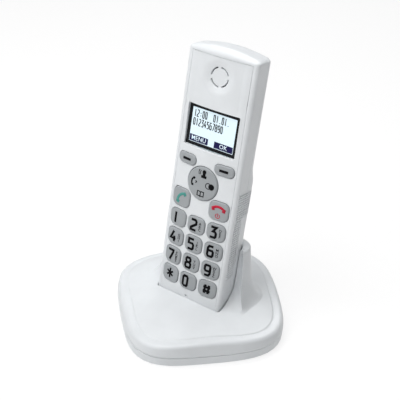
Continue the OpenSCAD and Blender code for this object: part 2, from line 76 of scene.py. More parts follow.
ROW = 60.5                             # height of the highest row of digits
ROW_PITCH, COL_PITCH = 13.4, 14.4
KEY_W, KEY_H, KEY_R = 12.6, 11.4, 3.8
SOFT_SIZE = (13.4, 6.8, 3.2)           # width, height and corners of the keys under the display
TALK_SIZE = (13.4, 12.4, KEY_R)        # and of the call and end keys
KEY_SLACK, NAV_SLACK = 0.22, 0.35      # gap round a key and round the navigation pad
PROUD = 0.9                            # how far a key stands out of the face
CROWN, CROWN_IN = 0.25, 4.0            # how far a key's top falls to its edge, and over what width
NAV = np.array([0, ROW + 28.4])
NAV_R = 10.87
TALK = np.array([14.0, ROW + 14.4])
SOFT = np.array([13.5, ROW + 40.8])
WINDOW = np.array([0, ROW + 62.6])
WIN_W, WIN_H = 36.4, 26.2
LENS_W = -2.9                          # how deep the display lies
LCD_W, LCD_H = 31.6, 21.8
EAR = np.array([0, ROW + 95.8])
EAR_R = 5.87                           # radius of the ring of earpiece slots
SLOT_HALF, SLOT_W = 31, 0.75           # half the angle of a slot, and its width
DISH_R, DISH_DEPTH = 11.2, 1.5         # the dish round them
MIC = np.array([0, 9.4])
MIC_SIZE = (2.4, 0.9, 0.4)             # width, height and corners
PLATE_LOW, PLATE_TOP = 4.0, ROW + 107.8
PLATE_HALF, PLATE_NARROW = 21.8, 0.9   # half its width at the digits, and how much less at the top
RIDGE_U, RIDGE = 18.5, 0.38            # raised edge beside the display: its place and height

SPLIT = 7.0                            # height at which the base's tray and top shell meet
WALL = 17.2                            # nominal height of the base's side wall
WALL_R, WALL_RISE = 47, 460            # plan radius that has this height, and how slowly it falls further out
DECK = 23.4                            # height of the deck in its middle
RIM = 3.0                              # rounding of the base's upper edge
DRAFT = 1.3                            # how far the side wall leans in
DECK_IN = 7.0                          # how far inside the wall the ledge round the deck lies
LEDGE = 0.45                           # depth and width of that ledge
PLAN_Y = -5.2                          # middle of the base's plan
# direction and distance of the plan's sides, and how squarely they meet
PLAN = ((-46.4, 51.0), (226.4, 51.0), (39, 57.6), (141, 57.6), (90, 94.6))
PLAN_POWER = 3.75
# holes of the rear wall: lowest and highest x, and the height they reach up to
REAR_HOLES = ((-17.7, -5.3, 9.0), (5.3, 17.7, 9.0), (-3.55, 3.55, 8.25))
WELL = 0.45                            # clearance round the handset
WELL_STEP = 0.6 - PART                 # depth at which the well's floor steps down
WELL_REAR = -4.0                       # the floor's height behind that step
COLLAR = 57.0                          # height of the collar
COLLAR_FOOT = 19.0                     # nominal height of its foot
COLLAR_EDGE_R = 0.9
FLARE = 14.0                           # radius of the collar's sweep into the deck
# each at the collar's top, how much more at its foot, and how much more where it has swept out
COLLAR_SIDE = (28.5, 4.0, 6.0)
COLLAR_FRONT = (3.8, -6.0, -5.5)
COLLAR_BACK = (19.5, 3.0, 10.0)


def smooth(t):
    t = np.clip(t, 0, 1)
    return t * t * (3 - 2 * t)


# ---------------------------------------------------------------- materials
CLOUDS = 60                            # clouds of tone per metre


def material(name, color, rough, grain=0.0, grain_size=0.35, vary=0.03, coat=0.0, metal=0.0, glow=0.0,
             shine=0.5):
    """Moulded plastic, rubber or metal: slight colour and gloss variation over a fine surface grain."""
    mat = bpy.data.materials.new(name)
    mat.use_nodes = True
    nodes, links = mat.node_tree.nodes, mat.node_tree.links
    shader = nodes["Principled BSDF"]
    place = nodes.new("ShaderNodeTexCoord")
    cloud = nodes.new("ShaderNodeTexNoise")
    cloud.inputs["Scale"].default_value = CLOUDS
    cloud.inputs["Detail"].default_value = 3
    links.new(place.outputs["Object"], cloud.inputs["Vector"])
    tone = nodes.new("ShaderNodeValToRGB")
    darker, lighter = tone.color_ramp.elements
    darker.position = 0.3
    lighter.position = 0.7
    darker.color = [c * (1 - vary) for c in color] + [1]
    lighter.color = [min(1, c * (1 + vary)) for c in color] + [1]
    links.new(cloud.outputs["Fac"], tone.inputs["Fac"])
    links.new(tone.outputs["Color"], shader.inputs["Base Color"])
    gloss = nodes.new("ShaderNodeMapRange")
    gloss.inputs["To Min"].default_value = rough * 0.88
    gloss.inputs["To Max"].default_value = min(1, rough * 1.12)
    links.new(cloud.outputs["Fac"], gloss.inputs["Value"])
    links.new(gloss.outputs["Result"], shader.inputs["Roughness"])
    if grain:
        fine = nodes.new("ShaderNodeTexNoise")
        fine.inputs["Scale"].default_value = 1 / (grain_size * MM)
        fine.inputs["Detail"].default_value = 4
        links.new(place.outputs["Object"], fine.inputs["Vector"])
        bump = nodes.new("ShaderNodeBump")
        bump.inputs["Strength"].default_value = grain
        bump.inputs["Distance"].default_value = 0.02 * MM
        links.new(fine.outputs["Fac"], bump.inputs["Height"])
        links.new(bump.outputs["Normal"], shader.inputs["Normal"])
    shader.inputs["Metallic"].default_value = metal
    shader.inputs["Specular IOR Level"].default_value = shine
    shader.inputs["Coat Weight"].default_value = coat
    shader.inputs["Coat Roughness"].default_value = 0.08
    if glow:
        shader.inputs["Emission Color"].default_value = list(color) + [1]
        shader.inputs["Emission Strength"].default_value = glow
    return mat


WHITE = material("handset_plastic", (0.785, 0.81, 0.83), 0.36, grain=0.25)
# The base's white plastic, painted a little darker than the handset's: painted shade standing in for the dimmer
# light on the deck.
BASE_WHITE = material("base_plastic", (0.74, 0.765, 0.785), 0.42, grain=0.3)
KEY = material("key_rubber", (0.36, 0.38, 0.395), 0.55, grain=0.35, grain_size=0.25)
INK = material("key_ink", (0.003, 0.003, 0.004), 0.7, grain=0.1, shine=0.1)
GREEN = material("call_ink", (0.09, 0.34, 0.30), 0.6, grain=0.1, shine=0.2)
RED = material("end_ink", (0.55, 0.02, 0.05), 0.6, grain=0.1, shine=0.2)
BORDER = material("display_border", (0.005, 0.006, 0.008), 0.3, shine=0.2)
SCREEN = material("display_face", (0.74, 0.88, 0.95), 0.35, vary=0.01, glow=0.22)
NAVY = material("display_bar", (0.008, 0.006, 0.075), 0.4, shine=0.2)
DARK = material("dark_inside", (0.03, 0.03, 0.033), 0.7, grain=0.2)
RUBBER = material("foot_rubber", (0.05, 0.05, 0.053), 0.8, grain=0.5)
STEEL = material("bright_steel", (0.62, 0.63, 0.65), 0.3, grain=0.15, metal=1)
GOLD = material("contact_gold", (0.83, 0.62, 0.28), 0.25, grain=0.1, metal=1)
BOARD = material("board_lacquer", (0.02, 0.12, 0.06), 0.35, grain=0.3)
CELL = material("cell_sleeve", (0.03, 0.16, 0.11), 0.3, grain=0.1, coat=0.4)
NYLON = material("natural_nylon", (0.72, 0.73, 0.72), 0.45, grain=0.25)

CAD_LOOKS = {
    "handset_white": WHITE, "base_white": BASE_WHITE, "key_grey": KEY, "rubber_grey": RUBBER, "lens": BORDER,
    "lcd": SCREEN, "board": BOARD, "steel": STEEL, "contact_metal": GOLD, "black_plastic": DARK,
    "cell_wrap": CELL, "natural_plastic": NYLON,
}
for part in frame["record"]["subparts"]:
    mesh = frame["nodes"][part["node"]].data
    mesh.materials.clear()
    mesh.materials.append(CAD_LOOKS[part["material_slot"]])


# ---------------------------------------------------------------- mesh helpers
def piece(name, patch, place, body, look, replaces=(), sharp=40, wall=0.0, bevel=0.0, weld=False):
    """One visible piece from a patch in millimetres, placed and hung on its body."""
    mesh = bpy.data.meshes.new(name)
    mesh.from_pydata([place @ Vector(v) for v in patch.verts], [], patch.faces)
    mesh.validate()
    if weld:
        work = bmesh.new()
        work.from_mesh(mesh)
        bmesh.ops.remove_doubles(work, verts=work.verts, dist=0.004 * MM)
        work.to_mesh(mesh)
        work.free()
    mesh.polygons.foreach_set("use_smooth", [True] * len(mesh.polygons))
    mesh.set_sharp_from_angle(angle=math.radians(sharp))
    mesh.materials.append(look)
    obj = bpy.data.objects.new(name, mesh)
    bpy.context.scene.collection.objects.link(obj)
    if wall:
        thick = obj.modifiers.new("wall", "SOLIDIFY")
        thick.thickness = wall * MM
        thick.offset = -1
    if bevel:
        edge = obj.modifiers.new("edge", "BEVEL")
        edge.width = bevel * MM
        edge.segments = 2
        edge.limit_method = "ANGLE"
        edge.angle_limit = math.radians(55)
    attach(obj, body)
    if replaces:
        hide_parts(*replaces)
    return obj


class Patch:
    """Collects points and faces of one piece."""

    def __init__(self):
        self.verts, self.faces = [], []

    def add(self, verts, faces):
        start = len(self.verts)
        self.verts += [tuple(v) for v in verts]
        self.faces += [tuple(start + int(i) for i in f) for f in faces]

    def rings(self, rings, closed=True):
        """A skin through rings of equally many points: closed at both ends, or open and facing inwards."""
        n, last = len(rings[0]), (len(rings) - 1) * len(rings[0])
        faces = []
        for start in range(0, last, n):
            for i in range(n):
                j = (i + 1) % n
                quad = (start + i, start + j, start + n + j, start + n + i)
                faces.append(quad if closed else quad[::-1])
        if closed:
            faces += [range(last, last + n), range(n - 1, -1, -1)]
        self.add([p for r in rings for p in r], faces)


def sd_round(p, w, h, r):
    """Distance of points from a rounded rectangle round the origin, negative inside."""
    q = np.abs(p) - np.array([w / 2 - r, h / 2 - r])
    return np.linalg.norm(np.maximum(q, 0), axis=-1) + np.minimum(q.max(axis=-1), 0) - r


def arc_line(at, r, a0, a1, n=14):
    a = np.radians(np.linspace(a0, a1, n))
    return np.column_stack([at[0] + r * np.cos(a), at[1] + r * np.sin(a)])


class Outline:
    """A key or window outline: a rounded rectangle, if wanted with a round bite towards the pad."""

    PAD_SPACE = 1.4                    # between the pad and a bite

    def __init__(self, at, w, h, r, bite=False):
        self.at, self.w, self.h, self.r, self.bite = np.array(at, float), w, h, r, bite

    def sd(self, p):
        d = sd_round(p - self.at, self.w, self.h, self.r)
        if self.bite:
            d = np.maximum(d, NAV_R + self.PAD_SPACE - np.linalg.norm(p - NAV, axis=-1))
        return d

    def ring(self, level, corner=9, straight=6):
        """Points where the distance to the outline is level: corner arcs joined by split straights."""
        reach = np.array([self.w / 2 - self.r, self.h / 2 - self.r])
        r = self.r + level
        corners = np.array(((1, 1), (-1, 1), (-1, -1), (1, -1)))
        points = []
        for k in range(4):
            a = math.pi / 2 * (k + np.linspace(0, 1, corner))
            arc = corners[k] * reach + r * np.column_stack([np.cos(a), np.sin(a)])
            to = corners[(k + 1) % 4] * reach + r * np.array([np.cos(a[-1]), np.sin(a[-1])])
            t = np.linspace(0, 1, straight + 2)[1:-1, None]
            points += [arc, arc[-1] * (1 - t) + to * t]
        ray = np.vstack(points)
        if not self.bite:
            return self.at + ray
        ray /= np.linalg.norm(ray, axis=1)[:, None]
        low, high = np.zeros(len(ray)), np.full(len(ray), 60.0)
        for _ in range(40):
            mid = (low + high) / 2
            within = self.sd(self.at + ray * mid[:, None]) < level
            low, high = np.where(within, mid, low), np.where(within, high, mid)
        return self.at + ray * low[:, None]

    def opened(self, slack):
        """The opening round this outline."""
        return Outline(self.at, self.w + 2 * slack, self.h + 2 * slack, self.r + slack, self.bite)


class Round(Outline):
    def __init__(self, at, r):
        super().__init__(at, 2 * r, 2 * r, r)

    def ring(self, level, n=72):
        return arc_line(self.at, self.r + level, 0, 360 - 360 / n, n)


class Slot:
    """A slot along an arc round the earpiece."""

    def __init__(self, at, radius, start, end, width):
        self.at, self.radius, self.half = at, radius, width / 2
        self.a0, self.a1 = math.radians(start), math.radians(end)

    def sd(self, p):
        v = p - self.at
        mid = (self.a0 + self.a1) / 2
        a = (np.arctan2(v[..., 1], v[..., 0]) - mid + math.pi) % (2 * math.pi) - math.pi
        a = np.clip(a, (self.a0 - self.a1) / 2, (self.a1 - self.a0) / 2) + mid
        near = self.at + self.radius * np.stack([np.cos(a), np.sin(a)], -1)
        return np.linalg.norm(p - near, axis=-1) - self.half

    def ring(self, level, steps=7):
        """Points where the distance to the slot is level: outer arc, one end, inner arc, other end."""
        half = self.half + level
        start, end = math.degrees(self.a0), math.degrees(self.a1)

        def cap(a, turn):
            at = arc_line(self.at, self.radius, a, a, 1)[0]
            return arc_line(at, half, a + turn, a + turn + 180, steps)[1:-1]

        return np.vstack([
            arc_line(self.at, self.radius + half, start, end, 2 * steps), cap(end, 0),
            arc_line(self.at, self.radius - half, end, start, 2 * steps), cap(start, 180)])


def inside(p, poly):
    a, b = poly, np.roll(poly, -1, 0)
    x, y = p[:, None, 0], p[:, None, 1]
    rise = np.where(b[:, 1] == a[:, 1], 1, b[:, 1] - a[:, 1])
    cross = ((a[:, 1] > y) != (b[:, 1] > y)) & (x < (b[:, 0] - a[:, 0]) * (y - a[:, 1]) / rise + a[:, 0])
    return cross.sum(1) % 2 == 1


def edge_distance(p, poly):
    a, b = poly[None], np.roll(poly, -1, 0)[None]
    ab, ap = b - a, p[:, None] - a
    t = np.clip((ap * ab).sum(2) / (ab * ab).sum(2), 0, 1)
    return np.linalg.norm(ap - ab * t[..., None], axis=2).min(1)


def sheet(edge, holes, height, levels=(0, 0.1, 0.25, 0.5), fillet=0.35, step=1.5, depth=1.5, rim=()):
    """A curved plate with filleted holes: rings round each hole, a grid between, and walls going down."""
    points, loops = [], []

    def loop(ring):
        loops.append(list(range(len(points), len(points) + len(ring))))
        points.extend(ring)
        return loops[-1]

    walls = [loop(edge)]
    for ring in rim:
        loop(ring)
    for hole in holes:
        walls.append(loop(hole.ring(levels[0])))
        for level in levels[1:]:
            loop(hole.ring(level))
    low, high = np.min(edge, 0), np.max(edge, 0)
    grid_x, grid_y = np.meshgrid(*(np.arange(low[k] + step / 2, high[k], step) for k in (0, 1)))
    grid = np.stack([grid_x.ravel(), grid_y.ravel()], 1)
    clear = inside(grid, edge) & (edge_distance(grid, edge) > 0.75)
    for hole in holes:
        clear &= hole.sd(grid) > levels[-1] + 0.45
    points.extend(grid[clear])
    edges = [pair for ids in loops for pair in zip(ids, ids[1:] + ids[:1])]
    plan, _, tris, origin, _, _ = delaunay_2d_cdt([Vector(p) for p in points], edges, [], 0, 1e-6)
    plan = np.array([tuple(v) for v in plan])
    middles = plan[np.array(tris)].mean(1)
    keep = inside(middles, edge)
    z = height(plan)
    for hole in holes:
        keep &= hole.sd(middles) > -1e-4
        d = np.clip(hole.sd(plan), 0, fillet)
        z = z - (fillet - np.sqrt(fillet ** 2 - (fillet - d) ** 2))
    faces = []
    for tri, ok in zip(tris, keep):
        if ok:
            a, b, c = plan[tri]
            turn = (b[0] - a[0]) * (c[1] - a[1]) - (b[1] - a[1]) * (c[0] - a[0])
            faces.append(tri if turn > 0 else tri[::-1])
    verts = [tuple(v) for v in np.column_stack([plan, z])]
    new_id = {old[0]: k for k, old in enumerate(origin) if old}
    for wall in walls if depth else ():
        ids = [new_id[i] for i in wall]
        foot = {i: len(verts) + k for k, i in enumerate(ids)}
        verts += [(verts[i][0], verts[i][1], verts[i][2] - depth) for i in ids]
        faces += [(a, foot[a], foot[b], b) for a, b in zip(ids, ids[1:] + ids[:1])]
    patch = Patch()
    patch.add(verts, faces)
    return patch


# ---------------------------------------------------------------- handset form
def face_z(u):
    return np.sqrt(FACE_R ** 2 - u * u) - FACE_R


def plate_half(y):
    """Half the plate's width, which narrows a little above the digits."""
    return PLATE_HALF - PLATE_NARROW * np.clip((y - ROW - 10) / (PLATE_TOP - ROW - 10), 0, 1)


def depth_at(y):
    """Depth of the handset at height y: it steps in above the battery and rounds off at the lower end."""
    d = DEPTH - STEP * smooth((y - STEP_Y) / STEP_H) - TAPER * smooth((y - TAPER_Y) / TAPER_H)
    return d - (BACK_R - math.sqrt(max(0, BACK_R ** 2 - max(0, BACK_R - y) ** 2)))


def rib(y, w):
    """How far the grip's surface stands out of the side: ribs with grooves between them."""
    rear = GRIP_REAR if y > DOOR + GAP else GRIP_REAR_LOW
    along = smooth((y - GRIP[0]) / 0.8) * smooth((GRIP[1] - y) / 0.8)
    across = smooth((w - rear) / 0.6) * smooth((GRIP_FRONT - w) / 0.6)
    return along * across * (RIB - (RIB + GROOVE) * max(0, -math.cos(2 * math.pi * y / RIB_PITCH)) ** 1.2)


def half_section(y, side=0.0, face=0.0, rear=0.0, grow=0.0, ribs=True):
    """Right half of a section, from the middle of the front to the middle of the back."""
    b, d = HALF - side + grow, depth_at(y) - rear + grow
    back = max(2.0, min(BACK_R, d - PART - 0.6))
    x1 = b - FRONT_R
    seam = min(plate_half(y) + GAP, x1 - 0.05)
    front = [seam * t for t in (0, 0.25, 0.5, 0.75, 1)] + [(seam + x1) / 2, x1]
    pts = [(u, face_z(u) - face + grow) for u in front]
    side_top, side_low = pts[-1][1] - FRONT_R, -(d - back)

    def out(w):
        return rib(y, w) if ribs else 0

    for a in (68, 45, 22, 0):
        pts.append((x1 + FRONT_R * math.cos(math.radians(a)), side_top + FRONT_R * math.sin(math.radians(a))))
    upper = [side_top + (-PART + GAP - side_top) * t for t in np.linspace(0, 1, 19)[1:]]
    lower = [-PART - GAP + (side_low + PART + GAP) * t for t in np.linspace(0, 1, 9)]
    pts += [(b + out(w), w) for w in upper + lower]
    for a in (-12, -25, -38, -51, -64, -77, -90):
        c, s = math.cos(math.radians(a)), math.sin(math.radians(a))
        w = side_low + back * s
        pts.append((b - back + back * c + out(w) * c, w))
    pts += [(min(u, b - back - 0.5), -d) for u in (11, 6.6, 5.4, 3.6, 2.4, 0.6, 0)]
    return np.array(pts)


PLAIN_Y = 50.0                         # a height at which nothing but the grip changes the section
STATIONS = len(half_section(PLAIN_Y))
SEAM_AT, PART_AT = 4, 28               # stations where the plate ends and where the shells meet


def mirrored(half):
    """The whole ring of a right half whose first and last point lie in the middle."""
    flip = np.array([-1] + [1] * (half.shape[1] - 1))
    return np.vstack([half, half[-2:0:-1] * flip])


def ring_at(y, side=0.0, face=0.0, rear=0.0, shrink=1.0):
    middle = np.array([0, -PART])
    loop = mirrored(middle + (half_section(y, side, face, rear) - middle) * shrink)
    crown = np.clip((y - PLATE_TOP - 0.3) / (LENGTH - PLATE_TOP - 0.3), 0, 1)
    return np.column_stack([loop[:, 0], y - crown * loop[:, 0] ** 2 / 180, loop[:, 1]])


def rolled(y, radius):
    """How far an edge of this radius has drawn in at height y, below the top."""
    over = max(0, y - LENGTH + radius)
    return radius - math.sqrt(max(0, radius ** 2 - over ** 2))


def handset_rings():
    """Sections from the lower end to the top and their heights, with the end faces closed in steps."""
    rings, heights = [], []

    def add(y, side=0.0, face=0.0, rear=0.0, shrink=1.0):
        rings.append(ring_at(y, side, face, rear, shrink))
        heights.append(y)

    for shrink in (0.02, 0.4, 0.8):
        add(0, 4.2, LOW_EDGE_R, LOW_EDGE_R, shrink)
    for y in (0, 0.15, 0.5, 1.2, 2.2, 3.2, PLATE_LOW - GAP, PLATE_LOW + GAP, 5.2, 8, 12, 16, 20, 24, 28):
        low = max(0, LOW_EDGE_R - y) ** 2 / LOW_EDGE_R
        add(y, LOW_R - math.sqrt(LOW_R ** 2 - max(0, LOW_R - max(y, 0.06)) ** 2), low, low)
    fine = np.arange(28.4, 95.6, 0.2)
    for y in sorted([*fine[np.abs(fine - DOOR) > GAP + 0.02], DOOR - GAP, DOOR + GAP]):
        add(y)
    for y in sorted([*np.arange(97, PLATE_TOP - 1.5, 3), *VENTS]):
        add(y)
    top = [LENGTH - 5 * (1 - math.sin(t)) for t in np.radians(np.arange(10, 91, 10))]
    for y in [PLATE_TOP - GAP, PLATE_TOP + GAP] + top:
        add(y, *(rolled(y, r) for r in TOP_R))
    for shrink in (0.85, 0.65, 0.45, 0.25, 0.02):
        add(LENGTH, *TOP_R, shrink)
    return np.array(rings), np.array(heights)


RINGS, RING_Y = handset_rings()
VENT_SECTION = half_section(sum(VENTS) / 2)


def cut_out(name, wanted, node, body):
    """The part of the handset's skin where wanted(y, station) holds, as a thin shell."""
    n = RINGS.shape[1]
    used, verts, faces = {}, [], []

    def corner(k, i):
        if (k, i) not in used:
            used[(k, i)] = len(verts)
            verts.append(tuple(RINGS[k, i]))
        return used[(k, i)]

    for k in range(len(RINGS) - 1):
        y = (RING_Y[k] + RING_Y[k + 1]) / 2
        for i in range(n):
            if wanted(y, min(i, n - 1 - i)):
                j = (i + 1) % n
                faces.append((corner(k, i), corner(k, j), corner(k + 1, j), corner(k + 1, i)))
    patch = Patch()
    patch.add(verts, faces)
    piece(name, patch, HANDSET, body, WHITE, (node,), wall=1.4, bevel=0.14)


def in_plate(y, station):
    return station < SEAM_AT and PLATE_LOW - GAP < y < PLATE_TOP + GAP


def in_vent(y, station):
    u = (VENT_SECTION[station, 0] + VENT_SECTION[min(station + 1, STATIONS - 1), 0]) / 2
    return VENTS[0] < y < VENTS[1] and station > PART_AT + 10 and any(abs(u - c) < 0.6 for c in VENT_U)


cut_out("front_shell", lambda y, s: s < PART_AT and not in_plate(y, s), "handset_front_shell", "handset")
cut_out("rear_shell", lambda y, s: s > PART_AT and y > DOOR + GAP and not in_vent(y, s),
        "handset_rear_shell", "handset")
cut_out("battery_cover", lambda y, s: s > PART_AT and y < DOOR - GAP, "battery_door", "door_body")


# ---------------------------------------------------------------- face plate and keys
def dish(p):
    """The plate's surface: crown, raised rim beside the display, and the earpiece's shallow dish."""
    u, y = p[:, 0], p[:, 1]
    inward = RIDGE_U - np.abs(u)
    upper = smooth((y - 118) / 10)
    z = face_z(u) + upper * (RIDGE * np.exp(-(inward / 0.6) ** 2) - 0.25 * smooth(inward / 1.5))
    r = np.linalg.norm(p - EAR, axis=1)
    return z - DISH_DEPTH * smooth((DISH_R - r) / 7) + 0.12 * np.exp(-(r - DISH_R) ** 2)


def plate_edge(inset):
    low, high = PLATE_LOW + GAP + inset, PLATE_TOP - GAP - inset
    right = [(plate_half(y) - GAP - inset, y) for y in np.linspace(low, high, 90)]
    across = np.linspace(-1, 1, 24)[1:-1]
    top = [(-right[-1][0] * t, high) for t in across]
    bottom = [(right[0][0] * t, low) for t in across]
    left = [(-x, y) for x, y in right[::-1]]
    return np.array(right + top + left + bottom)


SIGNS = (("1", "2", "3"), ("4", "5", "6"), ("7", "8", "9"), ("star", "0", "hash"))
KEYS = {"key_" + sign: Outline((column * COL_PITCH, ROW - row * ROW_PITCH), KEY_W, KEY_H, KEY_R)
        for row, signs in enumerate(SIGNS) for column, sign in zip((-1, 0, 1), signs)}
for name, side in (("soft_key_left", -1), ("soft_key_right", 1)):
    KEYS[name] = Outline(SOFT * [side, 1], *SOFT_SIZE, bite=True)
for name, side in (("talk_key", -1), ("end_key", 1)):
    KEYS[name] = Outline(TALK * [side, 1], *TALK_SIZE, bite=True)
NAV_KEY = Round(NAV, NAV_R)

plate_holes = [key.opened(KEY_SLACK) for key in KEYS.values()]
plate_holes += [Round(NAV, NAV_R + NAV_SLACK), Outline(WINDOW, WIN_W, WIN_H, 0.7)]
plate_holes += [Slot(EAR, EAR_R, a - SLOT_HALF, a + SLOT_HALF, SLOT_W) for a in (54, 144, 234, 324)]
plate_holes += [Outline(MIC, *MIC_SIZE)]
plate = sheet(plate_edge(0), plate_holes, dish, rim=(plate_edge(0.3),))
piece("front_plate", plate, HANDSET, "handset", WHITE, ("face_plate",), sharp=50)


def on(outline):
    """Height of a key's top, as a function of points: it follows the face, slightly crowned."""
    def top(p):
        reach = np.clip(-outline.sd(p) / CROWN_IN, 0, 1)
        return face_z(p[..., 0]) + PROUD - CROWN * (1 - reach) ** 2

    return top


def key_cap(name, outline, body, node, edge=0.7, low=-2.6):
    """A solid cap: straight sides, an edge rounded by this radius, and a crowned top."""
    top = on(outline)
    base = outline.ring(0)
    rings = [np.column_stack([base, face_z(base[:, 0]) + low])]

    def add(ring, drop=0.0):
        rings.append(np.column_stack([ring, top(ring) - drop]))

    for a in np.radians((0, 30, 60, 80)):
        add(outline.ring(-edge * (1 - math.cos(a))), edge * (1 - math.sin(a)))
    for inset in (0.9, 1.4, 2.0, 2.8):
        add(outline.ring(-inset))
    core = rings[-1][:, :2]
    middle = core.mean(0)
    for share in (0.6, 0.24):
        add(middle + (core - middle) * share)
    patch = Patch()
    patch.rings(rings)
    piece(name, patch, HANDSET, body, KEY, (node,), sharp=60)


for node, outline in KEYS.items():
    key_cap("cap_" + node, outline, node + "_body", node)
key_cap("cap_nav_pad", NAV_KEY, "nav_body", "nav_pad", edge=0.8)


# ---------------------------------------------------------------- print on the keys
# lines of each sign, in a box one wide and one high
STROKES = {
    "1": [[(0.5, 0), (0.5, 1)]],
    "2": [[(0.05, 0.98), (0.78, 0.98), (0.95, 0.86), (0.95, 0.62), (0.06, 0.22), (0.06, 0.03), (0.98, 0.03)]],
    "3": [[(0.05, 0.98), (0.9, 0.98), (0.45, 0.58), (0.8, 0.56), (0.95, 0.44), (0.95, 0.16), (0.8, 0.03),
           (0.02, 0.03)]],
    "4": [[(0.55, 1.0), (0.04, 0.3), (1.0, 0.3)], [(0.72, 0.55), (0.72, 0.0)]],
    "5": [[(0.95, 0.98), (0.1, 0.98), (0.1, 0.58), (0.8, 0.58), (0.95, 0.46), (0.95, 0.16), (0.8, 0.03),
           (0.02, 0.03)]],
    "6": [[(0.92, 0.98), (0.25, 0.98), (0.05, 0.8), (0.05, 0.16), (0.2, 0.03), (0.8, 0.03), (0.95, 0.16),
           (0.95, 0.46), (0.8, 0.58), (0.06, 0.58)]],
    "7": [[(0.0, 0.98), (0.95, 0.98), (0.95, 0.84), (0.38, 0.0)]],
    "8": [[(0.3, 0.56), (0.12, 0.7), (0.12, 0.86), (0.26, 0.98), (0.74, 0.98), (0.88, 0.86), (0.88, 0.7),
           (0.7, 0.56), (0.3, 0.54), (0.05, 0.42), (0.05, 0.16), (0.2, 0.03), (0.8, 0.03), (0.95, 0.16),
           (0.95, 0.42), (0.7, 0.55)]],
    "9": [[(0.08, 0.03), (0.75, 0.03), (0.95, 0.2), (0.95, 0.85), (0.8, 0.98), (0.2, 0.98), (0.05, 0.85),
           (0.05, 0.56), (0.2, 0.43), (0.93, 0.43)]],
    "0": [[(0.2, 0.03), (0.05, 0.16), (0.05, 0.85), (0.2, 0.98), (0.7, 0.98), (0.85, 0.85), (0.85, 0.16),
           (0.7, 0.03), (0.18, 0.03)]],
    "star": [[(0.5, 1.05), (0.5, 0.1)], [(0.02, 0.8), (0.98, 0.34)], [(0.98, 0.8), (0.02, 0.34)]],
    "hash": [[(0.3, 0.95), (0.2, 0.1)], [(0.8, 0.95), (0.7, 0.1)], [(0.0, 0.7), (1.0, 0.7)],
             [(0.0, 0.34), (1.0, 0.34)]],
    ":": [[(0.5, 0.7), (0.5, 0.58)], [(0.5, 0.3), (0.5, 0.18)]],
    ".": [[(0.5, 0.12), (0.5, 0.0)]],
    " ": [],
}
LETTERS = {"2": "ABC", "3": "DEF", "4": "GHI", "5": "JKL", "6": "MNO", "7": "PQRS", "8": "TUV", "9": "WXYZ"}


def ribbon(line, width):
    """A flat band along a line, mitred at its corners."""
    p = [np.array(line[0], float)]
    for to in line[1:]:
        start, to = p[-1], np.array(to, float)
        steps = max(1, int(np.linalg.norm(to - start) / 0.7))
        p += [start + (to - start) * k / steps for k in range(1, steps + 1)]
    p = np.array(p)
    d = np.diff(p, axis=0)
    d /= np.linalg.norm(d, axis=1)[:, None]
    n = np.column_stack([-d[:, 1], d[:, 0]])
    side = [n[0]]
    for a, b in zip(n, n[1:]):
        m = a + b
        side.append(m / max(0.35, (m @ m) / 2))
    side = np.array(side + [n[-1]]) * width / 2
    k = len(p)
    return np.vstack([p + side, p - side]), [(i, k + i, k + i + 1, i + 1) for i in range(k - 1)]


def disc(at, r, n=20):
    return arc_line(at, r, 0, 360 - 360 / n, n), [range(n)]


def print_on(name, shapes, top, body, look, lift=0.05):
    """Flat ink shapes laid on a surface whose height is top(points)."""
    patch = Patch()
    for verts, faces in shapes:
        patch.add(np.column_stack([verts, top(verts) + lift]), faces)
    piece(name, patch, HANDSET, body, look, wall=-0.02)


def glyph(sign, at, w, h, width):
    """One sign in a box w by h around a point."""
    box = np.array([w, h])
    return [ribbon([at + (np.array(point) - 0.5) * box for point in line], width) for line in STROKES[sign]]


def words(text, at, size):
    """Small lettering in the built-in face, as flat shapes."""
    curve = bpy.data.curves.new("words", "FONT")
    curve.body, curve.size, curve.resolution_u = text, size, 2
    curve.align_x, curve.align_y, curve.offset = "CENTER", "CENTER", size * 0.012
    obj = bpy.data.objects.new("words", curve)
    mesh = bpy.data.meshes.new_from_object(obj)
    verts = np.array([(v.co.x + at[0], v.co.y + at[1]) for v in mesh.vertices])
    faces = [tuple(p.vertices) for p in mesh.polygons]
    bpy.data.objects.remove(obj)
    bpy.data.curves.remove(curve)
    bpy.data.meshes.remove(mesh)
    return verts, faces


def handset_icon(at, size, turn):
    """A telephone receiver: a bowed bar with a block at each end."""
    a = math.radians(turn)
    spin = np.array([[math.cos(a), math.sin(a)], [-math.sin(a), math.cos(a)]]) * size
    bow = arc_line((0, -1.05), 1.2, 135, 45)
    ends = [np.array([(0.8 * side, 0.02), (0.7 * side, -0.46)]) for side in (-1, 1)]
    return [ribbon(bow @ spin + at, 0.34 * size)] + [ribbon(end @ spin + at, 0.44 * size) for end in ends]


SIGN_ASIDE = {"1": 1.6, "star": 0, "hash": 0}     # how far a sign lies left of its key's middle, or else 1.5
for node, outline in KEYS.items():
    sign, name, body = node.removeprefix("key_"), "print_" + node, node + "_body"
    if sign in STROKES:
        width, stroke = (5.0 if sign in ("star", "hash") else 4.2), (1.3 if sign == "star" else 1.6)
        shapes = glyph(sign, outline.at - [SIGN_ASIDE.get(sign, 1.5), 0], width, 7.3, stroke)
        letters = LETTERS.get(sign, "")
        pitch = 1.75 if len(letters) == 4 else 2.1
        for k, letter in enumerate(letters):
            shapes.append(words(letter, outline.at + [3.1, ((len(letters) - 1) / 2 - k) * pitch], 2.6))
        print_on(name, shapes, on(outline), body, INK)
    elif node.startswith("soft"):
        print_on(name, [ribbon([outline.at - [3.0, 0], outline.at + [3.0, 0]], 1.65)], on(outline), body, INK)

